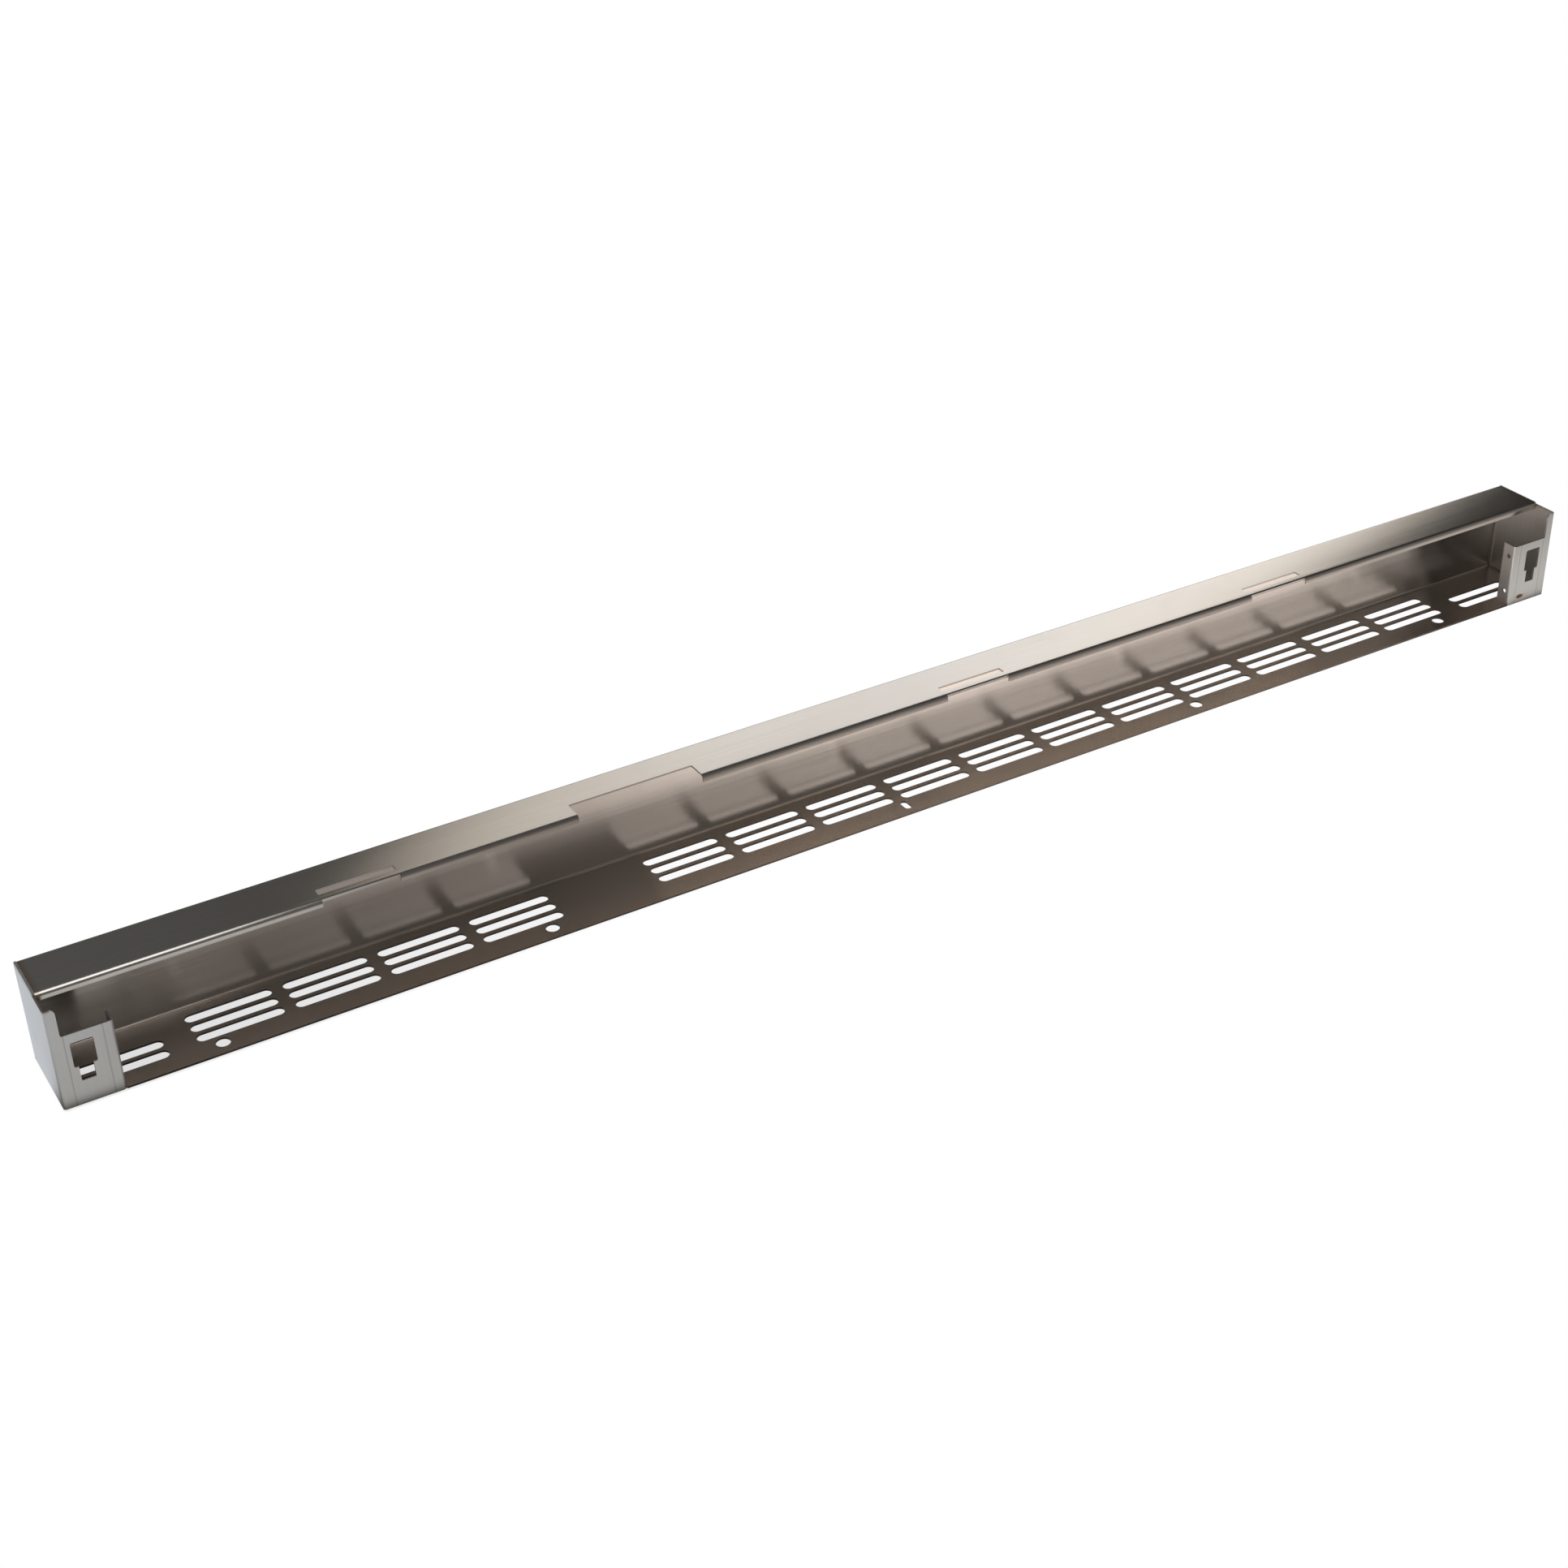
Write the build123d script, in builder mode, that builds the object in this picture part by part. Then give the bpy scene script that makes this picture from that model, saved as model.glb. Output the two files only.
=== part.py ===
"""Slotted ventilation trim channel, folded from 1 mm stainless sheet.

A long channel with its open side at the front (-Y).  Its floor is punched with rows of ventilation
slots, its back wall is plain, and its short top flange ends in a turned-down lip with hook slots.
Each end is shut by a folded end cap, which carries a keyhole plate and a stiffening flange, and
which is joined to the channel by three ground corner welds.

Millimetres.  +X along the channel, +Y towards the back wall, +Z up.  The origin is the centre of
the bounding box's underside.
"""
from build123d import *
import os

# ---- overall size -------------------------------------------------------------------------------
length = 896.0
depth = 44.4
height = 54.4
sheet = 1.0
bend_radius = 2.4  # outside radius of the channel's folds
cap_bend_radius = 1.5  # outside radius of the end caps' folds

front = -depth / 2
back = depth / 2
end = length / 2

# ---- top flange and its turned-down lip ---------------------------------------------------------
flange_depth = 30.7
lip_height = 3.6
flange_front = back - flange_depth

# ---- ventilation slots in the floor -------------------------------------------------------------
slot_length = 42.4
slot_width = 6.1
slot_pitch = 48.0
row_pitch = 8.4
group_count = 16
blank_group = 4  # counted from the left end, starting at 0: this group isn't punched
middle_row = front + 24.9
end_slot_inner_end = 395.0
end_rows_middle = front + 18.2

# ---- holes along the front edge of the floor ----------------------------------------------------
screw_hole_diameter = 7.0
screw_hole_line = front + 8.0
screw_hole_places = (-371.6, -204.5, 192.0, 371.6)
centring_slot_length = 7.6
centring_slot_width = 3.9

# ---- hook slots and latch notch in the top flange -----------------------------------------------
hook_length = 38.6
hook_width = 4.7
hook_places = (-294.8, 49.0, 251.0)
hook_strip = 3.9  # the bar left in front of a hook slot
hook_bar_setback = 1.2  # how far that bar stands behind the lip
hook_bar_front = flange_front + hook_bar_setback
latch_notch_length = 68.2
latch_notch_place = -149.2
latch_notch_back = front + 25.8
small_corner = 0.5
notch_corner = 1.0

# ---- end caps -----------------------------------------------------------------------------------
weld_gap = 0.2  # how far the weld metal reaches between the two sheet edges
weld_leg = 1.3  # leg of the small fillet inside the corner
weld_edge_radius = 0.8  # outside edge after grinding
weld_setback = 1.5  # how far behind the front edges the top and bottom welds start
cap_top = height - sheet - weld_gap
edge_strip_width = 5.2
plate_width = 28.8
plate_top = 38.3
strip_corner = 2.5
strip_root = 1.0
stiffener_depth = 8.8
stiffener_hole_diameter = 2.8
stiffener_hole_heights = (8.5, 31.0)
stiffener_hole_setback = 4.2

# ---- keyhole in each end cap --------------------------------------------------------------------
keyhole_from_end = 13.7
keyhole_head_width = 10.6
keyhole_head_bottom = 20.2
keyhole_head_top = 33.4
keyhole_neck_width = 6.6
keyhole_neck_bottom = 12.4
keyhole_corner = 0.9


def folded_sheet(points, radius, inside):
    """The edge view of folded sheet: its outside line through the points, its metal inside."""
    with BuildSketch() as section:
        with BuildLine():
            FilletPolyline(*points, radius=radius)
            offset(amount=sheet, side=inside)
        make_face()
    return section.sketch


# ---- channel: floor, back wall, top flange and lip from one sheet -------------------------------
channel_end = end - sheet - weld_gap
with BuildPart() as channel:
    with BuildSketch(Plane.YZ.offset(-channel_end)):
        add(
            folded_sheet(
                [
                    (flange_front, height - lip_height),
                    (flange_front, height),
                    (back, height),
                    (back, 0),
                    (front, 0),
                ],
                radius=bend_radius,
                inside=Side.RIGHT,
            )
        )
    extrude(amount=2 * channel_end)

    # ventilation slots, three rows to a group
    group_places = [
        (group - (group_count - 1) / 2) * slot_pitch
        for group in range(group_count)
        if group != blank_group
    ]
    with BuildSketch(Plane.XY):
        for place in group_places:
            with Locations((place, middle_row)):
                with GridLocations(slot_pitch, row_pitch, 1, 3):
                    SlotOverall(slot_length, slot_width)
        # two rows of slots behind each keyhole plate
        end_slot_place = end_slot_inner_end + slot_length / 2
        for place in (-end_slot_place, end_slot_place):
            with Locations((place, end_rows_middle)):
                with GridLocations(slot_pitch, row_pitch, 1, 2):
                    SlotOverall(slot_length, slot_width)
    extrude(amount=sheet, mode=Mode.SUBTRACT)

    # screw holes and the centring slot along the front edge
    with BuildSketch(Plane.XY):
        with Locations([(place, screw_hole_line) for place in screw_hole_places]):
            Circle(screw_hole_diameter / 2)
        with Locations((0, screw_hole_line)):
            SlotOverall(centring_slot_length, centring_slot_width, rotation=90)
    extrude(amount=sheet, mode=Mode.SUBTRACT)

    # the floor stands back behind the foot of each keyhole plate
    with BuildSketch(Plane.XY):
        relief = plate_width - sheet - weld_gap
        with Locations((channel_end - relief / 2, front), (relief / 2 - channel_end, front)):
            Rectangle(relief, 2 * sheet)
    extrude(amount=sheet, mode=Mode.SUBTRACT)

    # hook slots, each with the lip cut away in front of its bar
    hook_slot_front = hook_bar_front + hook_strip
    for place in hook_places:
        with BuildSketch(Plane.XY.offset(height - lip_height)):
            with Locations((place, hook_slot_front + hook_width / 2)):
                RectangleRounded(hook_length, hook_width, small_corner)
            with Locations((place, hook_bar_front)):
                Rectangle(hook_length, flange_depth, align=(Align.CENTER, Align.MAX))
        extrude(amount=lip_height, mode=Mode.SUBTRACT)

    # latch notch through lip and flange
    with BuildSketch(Plane.XY.offset(height - lip_height)) as notch:
        with Locations((latch_notch_place, latch_notch_back)):
            Rectangle(latch_notch_length, flange_depth, align=(Align.CENTER, Align.MAX))
        fillet(notch.vertices().group_by(Axis.Y)[-1], radius=notch_corner)
    extrude(amount=lip_height, mode=Mode.SUBTRACT)

channel.part.label = "channel"

# ---- right end cap: cap plate, keyhole plate and stiffening flange from one sheet ---------------
plate_inner = end - plate_width
with BuildPart() as right_end_cap:
    with BuildSketch(Plane.XY):
        add(
            folded_sheet(
                [
                    (plate_inner, front + stiffener_depth),
                    (plate_inner, front),
                    (end, front),
                    (end, back - sheet - weld_gap),
                ],
                radius=cap_bend_radius,
                inside=Side.LEFT,
            )
        )
    extrude(amount=cap_top)

    # room for the floor, and for the weld under the cap plate
    with Locations((end, front + sheet, 0)):
        Box(
            2 * plate_width,
            depth,
            2 * sheet,
            align=(Align.CENTER, Align.MIN, Align.CENTER),
            mode=Mode.SUBTRACT,
        )
    with Locations((end, front + sheet, 0)):
        Box(
            2 * (sheet + weld_gap),
            depth,
            2 * (sheet + weld_gap),
            align=(Align.CENTER, Align.MIN, Align.CENTER),
            mode=Mode.SUBTRACT,
        )

    # above the keyhole plate only a narrow edge strip goes on to the top
    strip_inner = end - edge_strip_width
    with BuildSketch(Plane.XZ.offset(-front)) as above_plate:
        with BuildLine():
            Polyline(
                (plate_inner - sheet, plate_top),
                (strip_inner, plate_top),
                (strip_inner, cap_top),
                (plate_inner - sheet, cap_top),
                close=True,
            )
        make_face()
        fillet(above_plate.vertices().group_by(Axis.X)[-1].sort_by(Axis.Y)[0], radius=strip_root)
    extrude(amount=-stiffener_depth - sheet, mode=Mode.SUBTRACT)
    strip_top_edge = (
        right_end_cap.edges()
        .filter_by(Axis.Y)
        .filter_by_position(Axis.X, strip_inner - small_corner, strip_inner + small_corner)
        .sort_by(Axis.Z)[-1]
    )
    fillet(strip_top_edge, radius=strip_corner)

    # keyhole: a wide head for the screw's head, a narrow neck below it for the shank
    keyhole_place = end - keyhole_from_end
    with BuildSketch(Plane.XZ.offset(-front)) as keyhole:
        with Locations((keyhole_place, (keyhole_head_bottom + keyhole_head_top) / 2)):
            RectangleRounded(
                keyhole_head_width,
                keyhole_head_top - keyhole_head_bottom,
                keyhole_corner,
            )
        with Locations((keyhole_place, keyhole_neck_bottom)):
            Rectangle(
                keyhole_neck_width,
                keyhole_head_top - keyhole_neck_bottom - keyhole_corner,
                align=(Align.CENTER, Align.MIN),
            )
        fillet(keyhole.vertices().group_by(Axis.Y)[0], radius=small_corner)
    extrude(amount=-sheet, mode=Mode.SUBTRACT)

    # two small holes through the stiffening flange
    with BuildSketch(Plane.YZ.offset(plate_inner)):
        for hole_height in stiffener_hole_heights:
            with Locations((front + stiffener_hole_setback, hole_height)):
                Circle(stiffener_hole_diameter / 2)
    extrude(amount=sheet, mode=Mode.SUBTRACT)

right_end_cap.part.label = "right_end_cap"

# ---- left end cap, the mirror image -------------------------------------------------------------
with BuildPart() as left_end_cap:
    mirror(right_end_cap.part, about=Plane.YZ)

left_end_cap.part.label = "left_end_cap"


def weld_section(across, along):
    """A corner weld's section, with its outside corner at the point (across, along).

    The weld metal fills the corner between the two sheets' edges, is ground round outside, and
    stands as a small fillet inside.
    """
    inner_across = across - sheet
    inner_along = along - sheet
    with BuildSketch() as section:
        with BuildLine():
            Polyline(
                (across - weld_edge_radius, along),
                (inner_across - weld_gap, along),
                (inner_across - weld_gap, inner_along),
                (inner_across - weld_leg, inner_along),
                (inner_across, inner_along - weld_leg),
                (inner_across, inner_along - weld_gap),
                (across, inner_along - weld_gap),
                (across, along - weld_edge_radius),
            )
            RadiusArc(
                (across, along - weld_edge_radius),
                (across - weld_edge_radius, along),
                -weld_edge_radius,
            )
        make_face()
    return section.sketch


# ---- corner welds at the right end --------------------------------------------------------------
with BuildPart() as right_back_weld:
    with BuildSketch(Plane.XY):
        add(weld_section(end, back))
    extrude(amount=height)
    corner_rim = right_back_weld.edges().filter_by(GeomType.CIRCLE)
    fillet(corner_rim, radius=weld_edge_radius / 2)
    # it is ground to the channel's folds at the top and the bottom
    with BuildSketch(Plane.YZ.offset(end)) as ground_outline:
        with Locations((0, height / 2)):
            Rectangle(depth, height)
        fillet(ground_outline.vertices().group_by(Axis.X)[-1], radius=bend_radius)
    extrude(amount=-2 * weld_leg - sheet, mode=Mode.INTERSECT)
    add(channel.part, mode=Mode.SUBTRACT)

# the other two run up to the back weld
weld_back_stop = back - sheet - weld_gap
with BuildPart() as right_top_weld:
    with BuildSketch(Plane.XZ.offset(-flange_front - weld_setback)):
        add(weld_section(end, height))
    extrude(amount=-(weld_back_stop - flange_front - weld_setback))
    add(right_back_weld.part, mode=Mode.SUBTRACT)
    add(channel.part, mode=Mode.SUBTRACT)

with BuildPart() as right_bottom_weld:
    with BuildSketch(Plane.XZ.offset(-front - weld_setback)):
        add(mirror(weld_section(end, 0), about=Plane.XZ, mode=Mode.PRIVATE))
    extrude(amount=-(weld_back_stop - front - weld_setback))
    add(right_back_weld.part, mode=Mode.SUBTRACT)
    add(channel.part, mode=Mode.SUBTRACT)

right_welds = {
    "back_weld": right_back_weld.part,
    "top_weld": right_top_weld.part,
    "bottom_weld": right_bottom_weld.part,
}

# ---- write every piece --------------------------------------------------------------------------
os.makedirs("parts", exist_ok=True)
export_step(channel.part, "parts/channel.step")
export_step(left_end_cap.part, "parts/left_end_cap.step")
export_step(right_end_cap.part, "parts/right_end_cap.step")
for name, weld in right_welds.items():
    weld.label = "right_" + name
    export_step(weld, "parts/right_" + name + ".step")
    with BuildPart() as left_weld:
        mirror(weld, about=Plane.YZ)
    left_weld.part.label = "left_" + name
    export_step(left_weld.part, "parts/left_" + name + ".step")
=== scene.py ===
"""A slotted stainless ventilation trim channel: brushed sheet, folded, with two welded end caps."""

import math

import bpy
import numpy as np
from mathutils import Matrix, Vector


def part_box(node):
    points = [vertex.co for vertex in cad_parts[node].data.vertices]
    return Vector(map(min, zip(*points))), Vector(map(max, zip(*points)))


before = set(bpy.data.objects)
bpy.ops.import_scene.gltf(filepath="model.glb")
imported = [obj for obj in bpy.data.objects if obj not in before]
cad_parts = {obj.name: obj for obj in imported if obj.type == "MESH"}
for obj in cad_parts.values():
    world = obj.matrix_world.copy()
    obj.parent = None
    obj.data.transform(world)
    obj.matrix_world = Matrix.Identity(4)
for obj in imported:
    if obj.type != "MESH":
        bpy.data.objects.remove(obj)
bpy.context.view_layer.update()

MM = 0.001

# Places on the part, in metres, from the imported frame. END is where the folded channel itself ends.
LOW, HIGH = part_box("channel")
FRONT = LOW.y
BACK = HIGH.y
TOP = HIGH.z
END = HIGH.x
PLATE_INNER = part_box("right_end_cap")[0].x
SHEET = 1.0 * MM
FOLD_RADIUS = 2.4 * MM
HOOK_BAR_SETBACK = 1.2 * MM
FLANGE_FRONT = FRONT + 13.7 * MM
# How far in from the end the lines beside the caps' folds stand: dented lines that also carry painted
# shade.
DENTED_SHADE_LINE_INSET = 5.0 * MM

# The burn at the foot of the right-hand plate, and its tail: centre and radii of each.
BURN = ((0.4283, FRONT, 4.0 * MM), (3.4 * MM, 3.0 * MM, 1.7 * MM))
BURN_TAIL = ((0.4325, FRONT, 4.4 * MM), (4.0 * MM, 3.0 * MM, 0.5 * MM))

# Folds turn less than this between facets; every edge that turns more stays sharp.
SHARP_ANGLE = math.radians(30.0)
MERGE_DISTANCE = 0.002 * MM

# The camera: where it looks, how far off it stands, and its turn, in metres and degrees.
AIM = Vector((-0.06385, 0.0014, 0.02722))
CAMERA_DISTANCE = 1.2442
CAMERA_AZIMUTH = -30.027
CAMERA_ELEVATION = 31.702
CAMERA_ROLL = -1.603
LENS = 56.218
SENSOR = 36.0


# ---------------------------------------------------------------- node helpers


class Bench:
    """Adds nodes to one tree and hands back the output that matters."""

    def __init__(self, tree):
        self.tree = tree
        self.column = 0

    def node(self, kind, **settings):
        """A new node, set out in rows of twelve."""
        new = self.tree.nodes.new(kind)
        self.column += 1
        new.location = (self.column % 12 * 190, -(self.column // 12) * 260)
        for name, value in settings.items():
            setattr(new, name, value)
        return new

    def feed(self, socket, value):
        """The socket takes another node's output, or keeps a plain value."""
        if isinstance(value, bpy.types.NodeSocket):
            self.tree.links.new(value, socket)
        else:
            socket.default_value = value

    def sum(self, kind, first, second=0.0, third=0.0):
        """One step of arithmetic on numbers."""
        new = self.node("ShaderNodeMath", operation=kind)
        for socket, value in zip(new.inputs, (first, second, third)):
            self.feed(socket, value)
        return new.outputs[0]

    def arrow(self, kind, first, second=(0.0, 0.0, 0.0)):
        """One step of arithmetic on vectors."""
        new = self.node("ShaderNodeVectorMath", operation=kind)
        self.feed(new.inputs[0], first)
        self.feed(new.inputs[1], second)
        return new.outputs["Value" if kind in ("LENGTH", "DISTANCE", "DOT_PRODUCT") else "Vector"]

    def ramp(self, value, low, high, out_low=0.0, out_high=1.0, shape="SMOOTHSTEP"):
        """The value from low to high becomes out_low to out_high, and is held outside."""
        new = self.node("ShaderNodeMapRange", interpolation_type=shape)
        for name, number in (
            ("Value", value),
            ("From Min", low),
            ("From Max", high),
            ("To Min", out_low),
            ("To Max", out_high),
        ):
            self.feed(new.inputs[name], number)
        return new.outputs["Result"]

    def blend(self, amount, first, second, kind="MIX"):
        """Two colours mixed by an amount."""
        new = self.node("ShaderNodeMix", data_type="RGBA", blend_type=kind)
        self.feed(new.inputs["Factor"], amount)
        self.feed(new.inputs[6], first)
        self.feed(new.inputs[7], second)
        return new.outputs[2]

    def stain(self, colour, amount, strength, other):
        """The colour with another laid over it, by an amount that is 1 where it is strongest."""
        return self.blend(self.sum("MULTIPLY", amount, strength), colour, other)

    def plus(self, value, amount, gain):
        """The value with an amount times a gain added."""
        return self.sum("MULTIPLY_ADD", amount, gain, value)

    def noise(self, place, scale=1.0, detail=2.0, roughness=0.5, distortion=0.0):
        """Soft noise from 0 to 1 over a place."""
        new = self.node("ShaderNodeTexNoise")
        self.feed(new.inputs["Vector"], place)
        self.feed(new.inputs["Scale"], scale)
        self.feed(new.inputs["Detail"], detail)
        self.feed(new.inputs["Roughness"], roughness)
        self.feed(new.inputs["Distortion"], distortion)
        return new.outputs["Fac"]

    def axes(self, vector):
        """A vector's three numbers."""
        new = self.node("ShaderNodeSeparateXYZ")
        self.feed(new.inputs[0], vector)
        return new.outputs[0], new.outputs[1], new.outputs[2]

    def vector(self, x, y, z):
        """Three numbers as one vector."""
        new = self.node("ShaderNodeCombineXYZ")
        for socket, value in zip(new.inputs, (x, y, z)):
            self.feed(socket, value)
        return new.outputs[0]

    def colours(self, value, stops):
        """A colour ramp: stops are (place, colour)."""
        new = self.node("ShaderNodeValToRGB")
        ramp = new.color_ramp
        while len(ramp.elements) < len(stops):
            ramp.elements.new(0.5)
        for element, (place, colour) in zip(ramp.elements, stops):
            element.position = place
            element.color = (*colour, 1.0)
        self.feed(new.inputs["Fac"], value)
        return new.outputs["Color"]

    def use(self, group, **values):
        """Places a shader group; words in its socket names are joined by underscores here."""
        new = self.node("ShaderNodeGroup", node_tree=group)
        for name, value in values.items():
            self.feed(new.inputs[name.replace("_", " ")], value)
        return new.outputs


SOCKETS = {"number": "NodeSocketFloat", "vector": "NodeSocketVector", "colour": "NodeSocketColor"}


def effect(name, inputs, outputs):
    """A new shader group with named sockets: its bench, its inputs and its end node."""
    tree = bpy.data.node_groups.new(name, "ShaderNodeTree")
    for label, kind in inputs:
        tree.interface.new_socket(name=label, in_out="INPUT", socket_type=SOCKETS[kind])
    for label, kind in outputs:
        tree.interface.new_socket(name=label, in_out="OUTPUT", socket_type=SOCKETS[kind])
    bench = Bench(tree)
    given = bench.node("NodeGroupInput").outputs
    result = bench.node("NodeGroupOutput").inputs
    return bench, given, result


# ---------------------------------------------------------------- shared effects


def make_brushed_grain():
    """Brush lines: noise whose place is multiplied by a density on each axis, low along the grain."""
    b, given, result = effect(
        "brushed grain",
        [("Place", "vector"), ("Line Density", "vector"), ("Streak Density", "vector")],
        [("Lines", "number"), ("Streaks", "number")],
    )
    lines = b.noise(b.arrow("MULTIPLY", given["Place"], given["Line Density"]), 1.0, 3.0, 0.65)
    streaks = b.noise(b.arrow("MULTIPLY", given["Place"], given["Streak Density"]), 1.0, 2.0, 0.55)
    b.feed(result["Lines"], b.ramp(lines, 0.25, 0.75, shape="LINEAR"))
    b.feed(result["Streaks"], b.ramp(streaks, 0.3, 0.7, shape="LINEAR"))
    return b.tree


def make_tone_drift():
    """Slow changes of tone over the sheet, as rolled sheet has."""
    b, given, result = effect(
        "tone drift", [("Place", "vector"), ("Size", "number")], [("Drift", "number")]
    )
    drift = b.noise(given["Place"], b.sum("DIVIDE", 1.0, given["Size"]), 2.0, 0.5, 0.3)
    b.feed(result["Drift"], b.ramp(drift, 0.3, 0.7))
    return b.tree


def make_handling_marks():
    """Finger smudges where two noises are both high, and hairlines where a noise stretched along the
    grain peaks."""
    b, given, result = effect(
        "handling marks",
        [("Place", "vector"), ("Smudge Size", "number"), ("Hairline Density", "vector")],
        [("Smudges", "number"), ("Hairlines", "number")],
    )
    wide = b.noise(given["Place"], b.sum("DIVIDE", 1.0, given["Smudge Size"]), 3.0, 0.6, 0.2)
    fine = b.noise(given["Place"], b.sum("DIVIDE", 4.0, given["Smudge Size"]), 2.0, 0.5)
    smudge = b.sum("MULTIPLY", b.ramp(wide, 0.5, 0.75), b.ramp(fine, 0.3, 0.7))
    b.feed(result["Smudges"], smudge)
    peak = b.noise(b.arrow("MULTIPLY", given["Place"], given["Hairline Density"]), 1.0, 1.0, 0.4)
    b.feed(result["Hairlines"], b.ramp(peak, 0.66, 0.76))
    return b.tree


def make_cut_edge():
    """Cut faces of the sheet: walls of holes in the floor, where painted shade goes, walls of holes in
    the top, and the sheet's two ends.
    """
    b, given, result = effect(
        "cut edge",
        [("Place", "vector"), ("Facing", "vector")],
        [("Floor Cut Shade", "number"), ("Top Cut", "number")],
    )
    _, y, z = b.axes(given["Place"])
    fx, _, fz = b.axes(given["Facing"])
    upright = b.ramp(b.sum("ABSOLUTE", fz), 0.4, 0.5, 1.0, 0.0)
    inside = b.ramp(y, BACK - 1.2 * FOLD_RADIUS, BACK - 1.1 * FOLD_RADIUS, 1.0, 0.0)
    in_floor = b.sum("MULTIPLY", b.ramp(z, 1.02 * SHEET, 1.05 * SHEET, 1.0, 0.0), inside)
    above = b.ramp(z, TOP - 1.05 * SHEET, TOP - 1.02 * SHEET)
    bar_front = FLANGE_FRONT + HOOK_BAR_SETBACK
    behind_lip = b.ramp(y, bar_front + 0.1 * MM, bar_front + 0.2 * MM)
    in_top = b.sum("MULTIPLY", b.sum("MULTIPLY", above, behind_lip), inside)
    sides = b.ramp(b.sum("ABSOLUTE", fx), 0.9, 0.95)
    b.feed(result["Floor Cut Shade"], b.sum("MULTIPLY", upright, in_floor))
    b.feed(result["Top Cut"], b.sum("MAXIMUM", b.sum("MULTIPLY", upright, in_top), sides))
    return b.tree


def make_heat_tint():
    """Oxide colours of heated stainless: straw, bronze, purple brown, then grey as the heat rises."""
    b, given, result = effect(
        "heat tint",
        [("Metal", "colour"), ("Heat", "number"), ("Strength", "number")],
        [("Colour", "colour")],
    )
    oxide = b.colours(
        given["Heat"],
        [
            (0.0, (1.0, 1.0, 1.0)),
            (0.3, (0.86, 0.7, 0.42)),
            (0.55, (0.55, 0.32, 0.17)),
            (0.75, (0.25, 0.15, 0.17)),
            (1.0, (0.15, 0.14, 0.17)),
        ],
    )
    tinted = b.blend(1.0, given["Metal"], oxide, "MULTIPLY")
    b.feed(result["Colour"], b.blend(given["Strength"], given["Metal"], tinted))
    return b.tree


def make_spot():
    """A soft oval patch: 1 at its centre, 0 past its radii, with a ragged edge."""
    b, given, result = effect(
        "spot",
        [("Place", "vector"), ("Centre", "vector"), ("Radii", "vector")],
        [("Inside", "number")],
    )
    apart = b.arrow("DIVIDE", b.arrow("SUBTRACT", given["Place"], given["Centre"]), given["Radii"])
    ragged = b.noise(given["Place"], 900.0, 2.0, 0.5)
    reach = b.sum("ADD", b.arrow("LENGTH", apart), b.sum("MULTIPLY_ADD", ragged, 0.8, -0.4))
    b.feed(result["Inside"], b.ramp(reach, 0.35, 1.1, 1.0, 0.0))
    return b.tree


GRAIN = make_brushed_grain()
DRIFT = make_tone_drift()
MARKS = make_handling_marks()
CUT_EDGE = make_cut_edge()
HEAT = make_heat_tint()
SPOT = make_spot()


# ---------------------------------------------------------------- materials


def new_material(name):
    """A material with a Principled shader: its bench, its shader and the place in Object space."""
    material = bpy.data.materials.new(name)
    material.use_nodes = True
    tree = material.node_tree
    tree.nodes.clear()
    bench = Bench(tree)
    shader = bench.node("ShaderNodeBsdfPrincipled")
    end = bench.node("ShaderNodeOutputMaterial")
    tree.links.new(shader.outputs["BSDF"], end.inputs["Surface"])
    place = bench.node("ShaderNodeTexCoord").outputs["Object"]
    return material, bench, shader, place


def brushed_steel(shader, bench, grain_direction, spread, metallic=1.0):
    """Metal whose highlights stretch across the grain: the tangent is the grain, turned a quarter."""
    shader.inputs["Metallic"].default_value = metallic
    shader.inputs["Anisotropic"].default_value = spread
    shader.inputs["Anisotropic Rotation"].default_value = 0.25
    bench.feed(shader.inputs["Tangent"], bench.vector(*grain_direction))


def relief(shader, bench, height, strength, distance):
    """Turns a height into the shader's normal."""
    bump = bench.node("ShaderNodeBump")
    bump.inputs["Strength"].default_value = strength
    bump.inputs["Distance"].default_value = distance
    bench.feed(bump.inputs["Height"], height)
    bench.feed(shader.inputs["Normal"], bump.outputs["Normal"])


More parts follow.
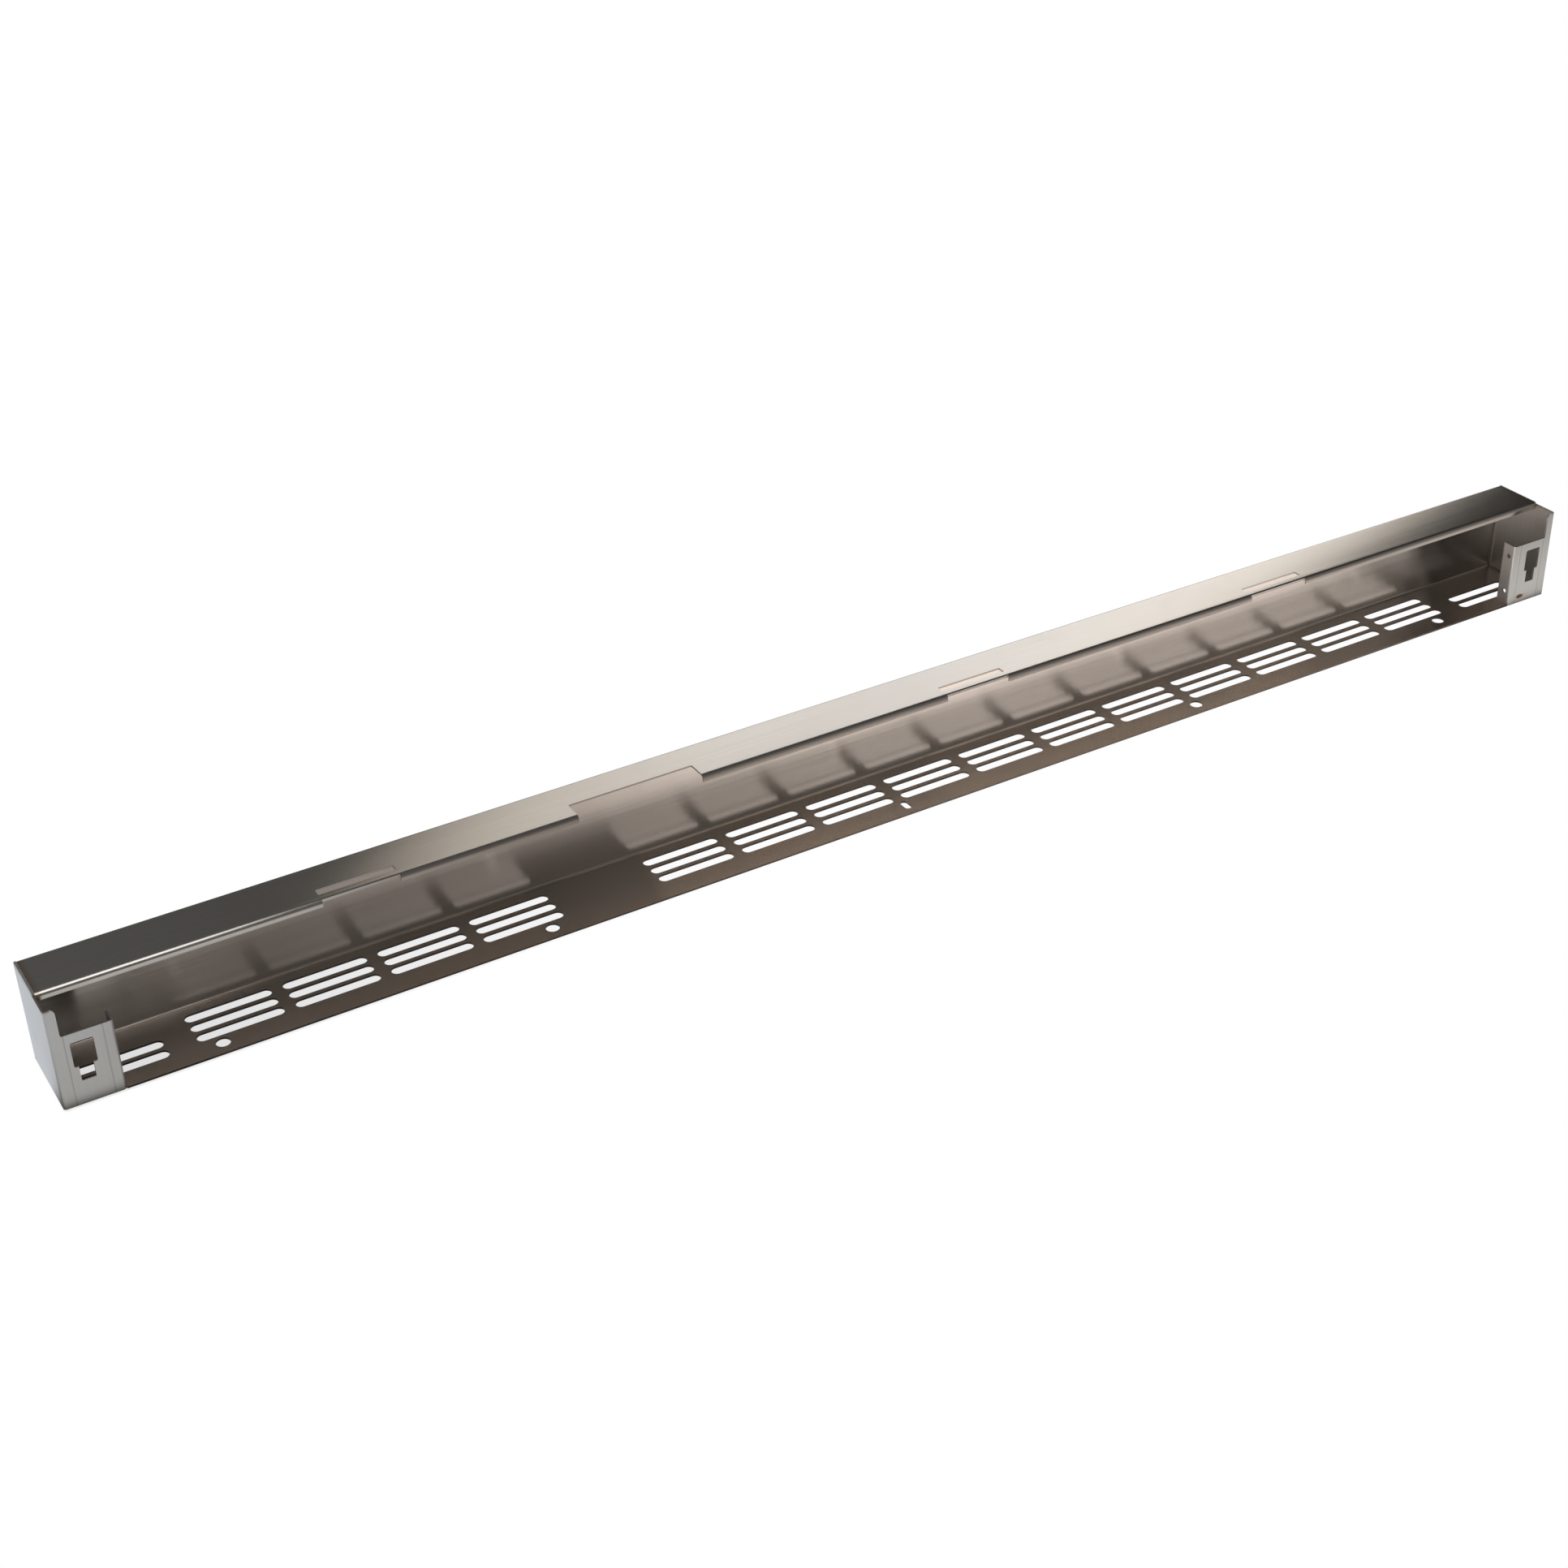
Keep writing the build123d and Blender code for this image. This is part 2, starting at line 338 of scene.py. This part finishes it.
def channel_material():
    """The folded sheet: grain along its length, and painted shade on the walls of the floor slots."""
    material, b, shader, place = new_material("brushed stainless channel")
    brushed_steel(shader, b, (1.0, 0.02, 0.03), 0.86, metallic=0.95)
    grain = b.use(
        GRAIN,
        Place=place,
        Line_Density=(14.0, 3600.0, 3600.0),
        Streak_Density=(6.0, 1300.0, 1300.0),
    )
    drift = b.use(DRIFT, Place=place, Size=0.09)["Drift"]
    marks = b.use(MARKS, Place=place, Smudge_Size=0.05, Hairline_Density=(22.0, 2600.0, 2600.0))
    facing = b.node("ShaderNodeNewGeometry").outputs["True Normal"]
    cuts = b.use(CUT_EDGE, Place=place, Facing=facing)
    cut = b.sum("MAXIMUM", cuts["Floor Cut Shade"], cuts["Top Cut"])
    across = b.sum("ABSOLUTE", b.axes(place)[0])

    steel = b.blend(grain["Streaks"], (0.605, 0.553, 0.505, 1.0), (0.66, 0.607, 0.556, 1.0))
    steel = b.stain(steel, grain["Lines"], 0.2, (0.74, 0.69, 0.64, 1.0))
    steel = b.stain(steel, drift, 0.22, (0.52, 0.47, 0.425, 1.0))
    steel = b.stain(steel, marks["Smudges"], 0.08, (0.45, 0.42, 0.39, 1.0))
    steel = b.stain(steel, marks["Hairlines"], 0.12, (0.78, 0.74, 0.7, 1.0))
    # Painted shade: the cut walls of the floor slots are made almost black, standing for the shade under
    # the part.
    steel = b.stain(steel, cuts["Floor Cut Shade"], 0.95, (0.05, 0.037, 0.03, 1.0))
    steel = b.stain(steel, cuts["Top Cut"], 0.2, (0.2, 0.18, 0.16, 1.0))

    ends = b.ramp(across, END - 4.0 * MM, END - 0.3 * MM)
    steel = b.use(HEAT, Metal=steel, Heat=b.sum("MULTIPLY", ends, 0.55), Strength=0.35)["Colour"]
    b.feed(shader.inputs["Base Color"], steel)

    rough = b.ramp(grain["Streaks"], 0.0, 1.0, 0.178, 0.19, "LINEAR")
    rough = b.plus(rough, grain["Lines"], 0.015)
    rough = b.plus(rough, marks["Smudges"], 0.015)
    rough = b.plus(rough, cut, 0.12)
    b.feed(shader.inputs["Roughness"], rough)

    height = b.plus(grain["Lines"], grain["Streaks"], 0.6)
    height = b.plus(height, marks["Hairlines"], -1.0)
    relief(shader, b, height, 0.12, 0.02 * MM)
    return material


def cap_material():
    """The end caps: upright grain, dented lines beside the folds darkened with painted shade, and a burn
    on the right-hand plate.
    """
    material, b, shader, place = new_material("satin stainless end cap")
    brushed_steel(shader, b, (0.02, 0.03, 1.0), 0.7)
    grain = b.use(
        GRAIN,
        Place=place,
        Line_Density=(3200.0, 3200.0, 30.0),
        Streak_Density=(700.0, 700.0, 9.0),
    )
    drift = b.use(DRIFT, Place=place, Size=0.03)["Drift"]
    marks = b.use(MARKS, Place=place, Smudge_Size=0.03, Hairline_Density=(2200.0, 2200.0, 40.0))
    x, y, z = b.axes(place)
    across = b.sum("ABSOLUTE", x)

    # Lines beside the folds: dented by the bump below, and darkened with painted shade where the fold
    # shades the plate.
    dented_and_shaded = 0.0
    for line in (END - DENTED_SHADE_LINE_INSET, PLATE_INNER + DENTED_SHADE_LINE_INSET):
        gap = b.sum("ABSOLUTE", b.sum("SUBTRACT", across, line))
        near = b.ramp(gap, 0.15 * MM, 0.5 * MM, 1.0, 0.0)
        dented_and_shaded = b.sum("MAXIMUM", dented_and_shaded, near)
    on_plate = b.ramp(y, FRONT + 0.8 * SHEET, FRONT + 1.2 * SHEET, 1.0, 0.0)
    dented_and_shaded = b.sum("MULTIPLY", dented_and_shaded, on_plate)

    steel = b.blend(grain["Streaks"], (0.57, 0.558, 0.543, 1.0), (0.605, 0.594, 0.578, 1.0))
    steel = b.stain(steel, grain["Lines"], 0.2, (0.7, 0.69, 0.675, 1.0))
    steel = b.stain(steel, drift, 0.15, (0.5, 0.49, 0.475, 1.0))
    steel = b.stain(steel, marks["Smudges"], 0.1, (0.42, 0.4, 0.38, 1.0))
    # Painted shade: the lines beside the folds are darkened.
    steel = b.stain(steel, dented_and_shaded, 0.5, (0.3, 0.28, 0.27, 1.0))

    burn = b.use(SPOT, Place=place, Centre=BURN[0], Radii=BURN[1])["Inside"]
    tail = b.use(SPOT, Place=place, Centre=BURN_TAIL[0], Radii=BURN_TAIL[1])["Inside"]
    heat = b.sum("MAXIMUM", burn, b.sum("MULTIPLY", tail, 0.14))
    steel = b.use(HEAT, Metal=steel, Heat=heat, Strength=0.97)["Colour"]

    seam = b.ramp(across, END - 2.5 * MM, END - 0.9 * MM)
    level = b.ramp(z, TOP - 2.6 * MM, TOP - 1.3 * MM)
    root = b.sum("MULTIPLY", seam, level)
    steel = b.use(HEAT, Metal=steel, Heat=b.sum("MULTIPLY", root, 0.6), Strength=0.5)["Colour"]
    b.feed(shader.inputs["Base Color"], steel)

    rough = b.ramp(grain["Streaks"], 0.0, 1.0, 0.4, 0.43, "LINEAR")
    rough = b.plus(rough, grain["Lines"], 0.03)
    rough = b.plus(rough, marks["Smudges"], 0.06)
    rough = b.plus(rough, dented_and_shaded, -0.08)
    b.feed(shader.inputs["Roughness"], rough)

    height = b.plus(grain["Lines"], grain["Streaks"], 0.6)
    height = b.plus(height, dented_and_shaded, -2.0)
    height = b.plus(height, marks["Hairlines"], -0.8)
    relief(shader, b, height, 0.15, 0.02 * MM)
    return material


def weld_material():
    """Corner welds: ground with short sanding lines outside, dark at the root, a little straw colour."""
    material, b, shader, place = new_material("ground weld")
    brushed_steel(shader, b, (0.3, 1.0, 0.05), 0.4)
    grain = b.use(
        GRAIN,
        Place=place,
        Line_Density=(2400.0, 260.0, 2400.0),
        Streak_Density=(900.0, 120.0, 900.0),
    )
    beads = b.noise(place, 1400.0, 2.0, 0.6)
    across = b.sum("ABSOLUTE", b.axes(place)[0])
    root = b.ramp(across, END - 0.3 * SHEET, END, 1.0, 0.0)
    steel = b.blend(grain["Lines"], (0.6, 0.58, 0.56, 1.0), (0.78, 0.77, 0.75, 1.0))
    steel = b.stain(steel, root, 0.8, (0.22, 0.19, 0.17, 1.0))
    steel = b.use(HEAT, Metal=steel, Heat=b.ramp(beads, 0.5, 0.8, 0.0, 0.4), Strength=0.6)["Colour"]
    b.feed(shader.inputs["Base Color"], steel)
    b.feed(shader.inputs["Roughness"], b.ramp(grain["Streaks"], 0.0, 1.0, 0.5, 0.6, "LINEAR"))
    relief(shader, b, b.sum("ADD", grain["Lines"], beads), 0.25, 0.04 * MM)
    return material


# ---------------------------------------------------------------- finish of the CAD parts


def fold_smoothing():
    """Geometry nodes: joins the loose triangles and keeps only edges over SHARP_ANGLE sharp."""
    tree = bpy.data.node_groups.new("fold smoothing", "GeometryNodeTree")
    tree.interface.new_socket(name="Geometry", in_out="INPUT", socket_type="NodeSocketGeometry")
    tree.interface.new_socket(name="Geometry", in_out="OUTPUT", socket_type="NodeSocketGeometry")
    given = tree.nodes.new("NodeGroupInput")
    merge = tree.nodes.new("GeometryNodeMergeByDistance")
    merge.inputs["Distance"].default_value = MERGE_DISTANCE
    angle = tree.nodes.new("GeometryNodeInputMeshEdgeAngle")
    compare = tree.nodes.new("FunctionNodeCompare")
    compare.data_type = "FLOAT"
    compare.operation = "GREATER_THAN"
    compare.inputs[1].default_value = SHARP_ANGLE
    normals = tree.nodes.new("GeometryNodeSetMeshNormal")
    result = tree.nodes.new("NodeGroupOutput")
    tree.links.new(given.outputs[0], merge.inputs["Geometry"])
    tree.links.new(merge.outputs["Geometry"], normals.inputs["Mesh"])
    tree.links.new(angle.outputs["Unsigned Angle"], compare.inputs[0])
    tree.links.new(compare.outputs["Result"], normals.inputs["Edge Sharpness"])
    normals.inputs["Remove Custom"].default_value = True
    tree.links.new(normals.outputs["Mesh"], result.inputs[0])
    return tree


SMOOTH = fold_smoothing()
CHANNEL = channel_material()
CAP = cap_material()
WELD = weld_material()


def finish_part(name, node):
    """Gives one CAD part its metal and smooth folds."""
    if name == "channel":
        metal = CHANNEL
    elif name.endswith("end_cap"):
        metal = CAP
    else:
        metal = WELD
    for slot in node.material_slots:
        slot.material = metal
    smooth = node.modifiers.new("fold smoothing", "NODES")
    smooth.node_group = SMOOTH


for part_name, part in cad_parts.items():
    finish_part(part_name, part)


# ---------------------------------------------------------------- floor, cards and sky


def grid(name, corner, along, up, material):
    """A flat card: corner + s * along + t * up for s and t from 0 to 1, on a 2 by 2 grid."""
    s, t = np.meshgrid((0.0, 1.0), (0.0, 1.0))
    points = np.array(corner) + s[..., None] * np.array(along) + t[..., None] * np.array(up)
    mesh = bpy.data.meshes.new(name)
    mesh.from_pydata(points.reshape(-1, 3).tolist(), [], [(0, 1, 3, 2)])
    card = bpy.data.objects.new(name, mesh)
    card.data.materials.append(material)
    bpy.context.scene.collection.objects.link(card)
    return card


def glow(name):
    """A material that only gives light."""
    material = bpy.data.materials.new(name)
    material.use_nodes = True
    tree = material.node_tree
    tree.nodes.clear()
    bench = Bench(tree)
    light = bench.node("ShaderNodeEmission")
    end = bench.node("ShaderNodeOutputMaterial")
    tree.links.new(light.outputs[0], end.inputs["Surface"])
    return material, bench, light


# The table under the part: dark by the left end, rising steadily to the right, dark by the right end.
# Each stop is a place, from 0 at TABLE_REACH left of the middle to 1 as far right of it, and a tone.
TABLE_REACH = 0.5
TABLE_TONES = (
    (0.115, 0.1), (0.13, 0.26), (0.17, 0.25), (0.5, 0.8),
    (0.62, 0.92), (0.8, 0.9), (0.87, 0.78), (0.9, 0.25), (0.93, 0.12),
)
TABLE_TINT = (1.0, 0.93, 0.89)

# The table some way in front, by the same places: cool at the left, dimmer and warm in the middle.
NEAR_TABLE_TONES = (
    (0.2, (0.64, 0.66, 0.68)), (0.25, (0.38, 0.37, 0.36)), (0.35, (0.27, 0.25, 0.235)),
    (0.75, (0.3, 0.28, 0.265)), (0.88, (0.55, 0.52, 0.5)),
)

# The far soft box along its width: a quick rise at its left edge, a slow one after, a soft right edge.
# Each stop is a place from 0 to 1 over the box, a tone, and how warm the light is there.
FAR_BOX_LEFT = 0.2
FAR_BOX_WIDTH = 2.1
FAR_BOX_STRENGTH = 1.72
FAR_BOX_TONES = (
    (0.03, 0.0, 1.0), (0.04, 0.16, 1.0), (0.13, 0.53, 0.9), (0.26, 0.68, 0.4), (0.45, 0.73, 0.1),
    (0.65, 0.91, 0.35), (0.8, 0.91, 0.75), (0.865, 0.46, 1.0), (0.9, 0.0, 1.0),
)

# The gap that keeps the floor clear of the part's underside.
FLOOR_DROP = 0.4 * MM
FLOOR_HALF = 6.0


def table_under(b, x, y):
    """The table's light under the part and just in front of it, where it is brighter."""
    along = b.ramp(x, -TABLE_REACH, TABLE_REACH, shape="LINEAR")
    stops = [(spot, tuple(tone * part for part in TABLE_TINT)) for spot, tone in TABLE_TONES]
    under = b.colours(along, stops)
    in_front = b.ramp(y, FRONT + 6.0 * MM, FRONT - 6.0 * MM)
    gain = b.ramp(x, -0.2, 0.0, 1.5, 2.3)
    brighter = b.blend(1.0, under, b.vector(gain, gain, gain), "MULTIPLY")
    return b.blend(in_front, under, brighter)


def table_given(b, x, y, under):
    """The whole table's light: raised in front of both ends, dimmer farther in front, and bright behind
    the part and past its left end."""
    across = b.sum("ABSOLUTE", x)
    before_ends = b.sum(
        "MULTIPLY", b.ramp(y, FRONT, FRONT - 8.0 * MM), b.ramp(across, 0.385, 0.405)
    )
    ends = b.blend(b.ramp(x, 0.0, 0.1), (0.6, 0.6, 0.59, 1.0), (0.86, 0.84, 0.82, 1.0))
    lifted = b.blend(before_ends, under, b.blend(1.0, under, ends, "LIGHTEN"))

    farther = b.ramp(y, FRONT - 38.0 * MM, FRONT - 50.0 * MM)
    farther = b.sum("MULTIPLY", farther, b.ramp(x, 0.42, 0.4))
    farther = b.sum("MAXIMUM", farther, b.ramp(y, FRONT - 52.0 * MM, FRONT - 58.0 * MM))
    along = b.ramp(x, -TABLE_REACH, TABLE_REACH, shape="LINEAR")
    lifted = b.blend(farther, lifted, b.colours(along, NEAR_TABLE_TONES))

    past_left = b.sum("MULTIPLY", b.ramp(x, -END, -END - 3.0 * MM), b.ramp(y, FRONT, 0.0))
    behind = b.ramp(y, BACK - 1.0 * MM, BACK + 2.0 * MM)
    return b.blend(b.sum("MAXIMUM", behind, past_left), lifted, (0.89, 0.94, 1.01, 1.0))


def table_shown(b, x, y):
    """What the camera sees: white, with a little shade under the part that thins out to the right."""
    past_end = b.ramp(b.sum("ABSOLUTE", x), END - 1.0 * MM, END + 2.0 * MM)
    behind = b.ramp(y, BACK - 1.0 * MM, BACK + 2.0 * MM)
    covered = b.sum("SUBTRACT", 1.0, b.sum("MAXIMUM", behind, past_end))
    covered = b.sum("MULTIPLY", covered, b.ramp(y, FRONT - 2.0 * MM, FRONT + 1.0 * MM))
    shade = b.sum("MULTIPLY", covered, b.ramp(x, -0.5, -0.05, 0.3, 0.02))
    return b.blend(shade, (1.0, 1.0, 1.0, 1.0), (0.0, 0.0, 0.0, 1.0))


def floor_material():
    """A pale lit table: white to look at, while the sheet reflects its zones of light."""
    material, b, light = glow("pale lit floor")
    seen = b.node("ShaderNodeLightPath").outputs["Is Camera Ray"]
    x, y, _ = b.axes(b.node("ShaderNodeTexCoord").outputs["Object"])
    given = table_given(b, x, y, table_under(b, x, y))
    b.feed(light.inputs["Color"], b.blend(seen, given, table_shown(b, x, y)))
    light.inputs["Strength"].default_value = 1.0
    return material


def far_box_material():
    """The soft box behind on the right. Warmth takes blue, and a little green, out of its light."""
    material, b, light = glow("far soft box")
    x, _, _ = b.axes(b.node("ShaderNodeTexCoord").outputs["Object"])
    along = b.ramp(x, FAR_BOX_LEFT, FAR_BOX_LEFT + FAR_BOX_WIDTH, shape="LINEAR")
    stops = []
    for spot, tone, warmth in FAR_BOX_TONES:
        stops.append((spot, (tone, tone * (1.03 - 0.07 * warmth), tone * (1.06 - 0.18 * warmth))))
    b.feed(light.inputs["Color"], b.colours(along, stops))
    light.inputs["Strength"].default_value = FAR_BOX_STRENGTH
    return material


def top_box_material():
    """The soft box overhead: even and a little cool."""
    material, _, light = glow("top soft box")
    light.inputs["Color"].default_value = (0.95, 0.98, 1.0, 1.0)
    light.inputs["Strength"].default_value = 2.0
    return material


grid(
    "pale_floor",
    (-FLOOR_HALF, -FLOOR_HALF, -FLOOR_DROP),
    (2.0 * FLOOR_HALF, 0.0, 0.0),
    (0.0, 2.0 * FLOOR_HALF, 0.0),
    floor_material(),
)
far_box = grid(
    "far_soft_box",
    (FAR_BOX_LEFT, 1.6, 0.45),
    (FAR_BOX_WIDTH, 0.0, 0.0),
    (0.0, 0.25, 1.6),
    far_box_material(),
)
top_box = grid(
    "top_soft_box", (-1.0, -1.3, 1.7), (1.05, 0.0, 0.0), (0.0, 1.3, 0.1), top_box_material()
)
for box in (far_box, top_box):
    box.visible_camera = False


def make_sky():
    """Plain white to look at. For reflections it is dim, and darkest behind on the right."""
    world = bpy.data.worlds.new("studio")
    bpy.context.scene.world = world
    world.use_nodes = True
    tree = world.node_tree
    tree.nodes.clear()
    b = Bench(tree)
    back = b.node("ShaderNodeBackground")
    end = b.node("ShaderNodeOutputWorld")
    tree.links.new(back.outputs[0], end.inputs["Surface"])
    seen = b.node("ShaderNodeLightPath").outputs["Is Camera Ray"]
    x, y, z = b.axes(b.node("ShaderNodeTexCoord").outputs["Generated"])
    front = b.ramp(y, 0.3, -0.5)
    right = b.ramp(x, 0.0, 0.7)
    low = b.ramp(z, 0.75, 0.5)
    before = b.blend(b.sum("MULTIPLY", right, low), (0.08, 0.078, 0.076, 1.0), (0.22, 0.21, 0.2, 1.0))
    behind = b.blend(right, (0.1, 0.102, 0.105, 1.0), (0.02, 0.02, 0.02, 1.0))
    tone = b.blend(front, behind, before)
    b.feed(back.inputs["Color"], b.blend(seen, tone, (1.0, 1.0, 1.0, 1.0)))


make_sky()


# ---------------------------------------------------------------- camera


def make_camera():
    """Stands off AIM along its azimuth and elevation, then rolls about its own line of sight."""
    turn = math.radians(CAMERA_AZIMUTH)
    rise = math.radians(CAMERA_ELEVATION)
    roll = math.radians(CAMERA_ROLL)
    back = Vector((
        math.sin(turn) * math.cos(rise),
        -math.cos(turn) * math.cos(rise),
        math.sin(rise),
    ))
    level = Vector((math.cos(turn), math.sin(turn), 0.0))
    upright = back.cross(level)
    right = level * math.cos(roll) + upright * math.sin(roll)
    up = back.cross(right)
    data = bpy.data.cameras.new("camera")
    data.lens = LENS
    data.sensor_width = SENSOR
    data.clip_start = 0.01
    camera = bpy.data.objects.new("camera", data)
    stand = AIM + back * CAMERA_DISTANCE
    camera.matrix_world = Matrix((
        (right.x, up.x, back.x, stand.x),
        (right.y, up.y, back.y, stand.y),
        (right.z, up.z, back.z, stand.z),
        (0.0, 0.0, 0.0, 1.0),
    ))
    bpy.context.scene.collection.objects.link(camera)
    bpy.context.scene.camera = camera


make_camera()
bpy.context.scene.view_settings.view_transform = "Standard"
